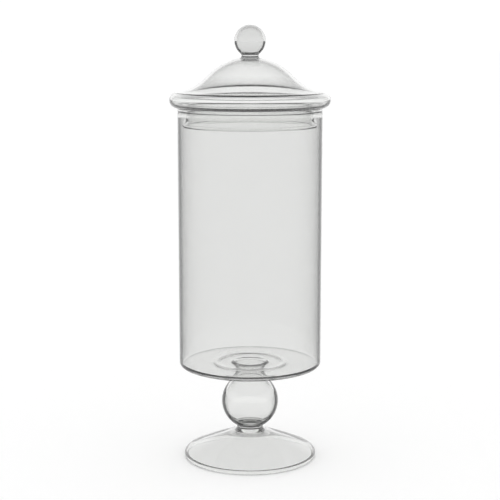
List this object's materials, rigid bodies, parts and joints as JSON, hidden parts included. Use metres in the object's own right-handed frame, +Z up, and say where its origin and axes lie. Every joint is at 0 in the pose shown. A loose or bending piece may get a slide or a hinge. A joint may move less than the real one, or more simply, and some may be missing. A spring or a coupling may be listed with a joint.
{
  "type": "apothecary jar",
  "caption": "Tall clear glass apothecary jar: straight tube vessel on a hollow ball stem and domed foot, with a loose lid that has a rolled brim, inner collar and hollow ball knob.",
  "frame": {"origin": "centre of the foot's standing plane, on the jar's axis", "axes": "+Z up along the jar's axis from the foot to the knob; the jar is round, so +X and +Y are any two level directions, and the picture looks along +Y"},
  "size_m": [0.1334, 0.1334, 0.3654],
  "materials": {
    "vessel_glass": "clear, fire-polished",
    "stem_glass": "clear, fire-polished",
    "foot_glass": "clear, fire-polished",
    "lid_glass": "clear, fire-polished",
    "knob_glass": "clear, fire-polished"
  },
  "bodies": {
    "jar": {"vessel": "vessel_glass", "stem_upper_neck": "stem_glass", "stem_ball": "stem_glass", "stem_lower_neck": "stem_glass", "foot": "foot_glass"},
    "lid": {"lid_dome": "lid_glass", "lid_collar": "lid_glass", "knob_neck": "knob_glass", "knob": "knob_glass"}
  },
  "joints": [
    {"name": "lid_lift", "type": "slide", "parent": "jar", "child": "lid", "axis": [0, 0, 1], "range_m": [0, 0.14]}
  ]
}
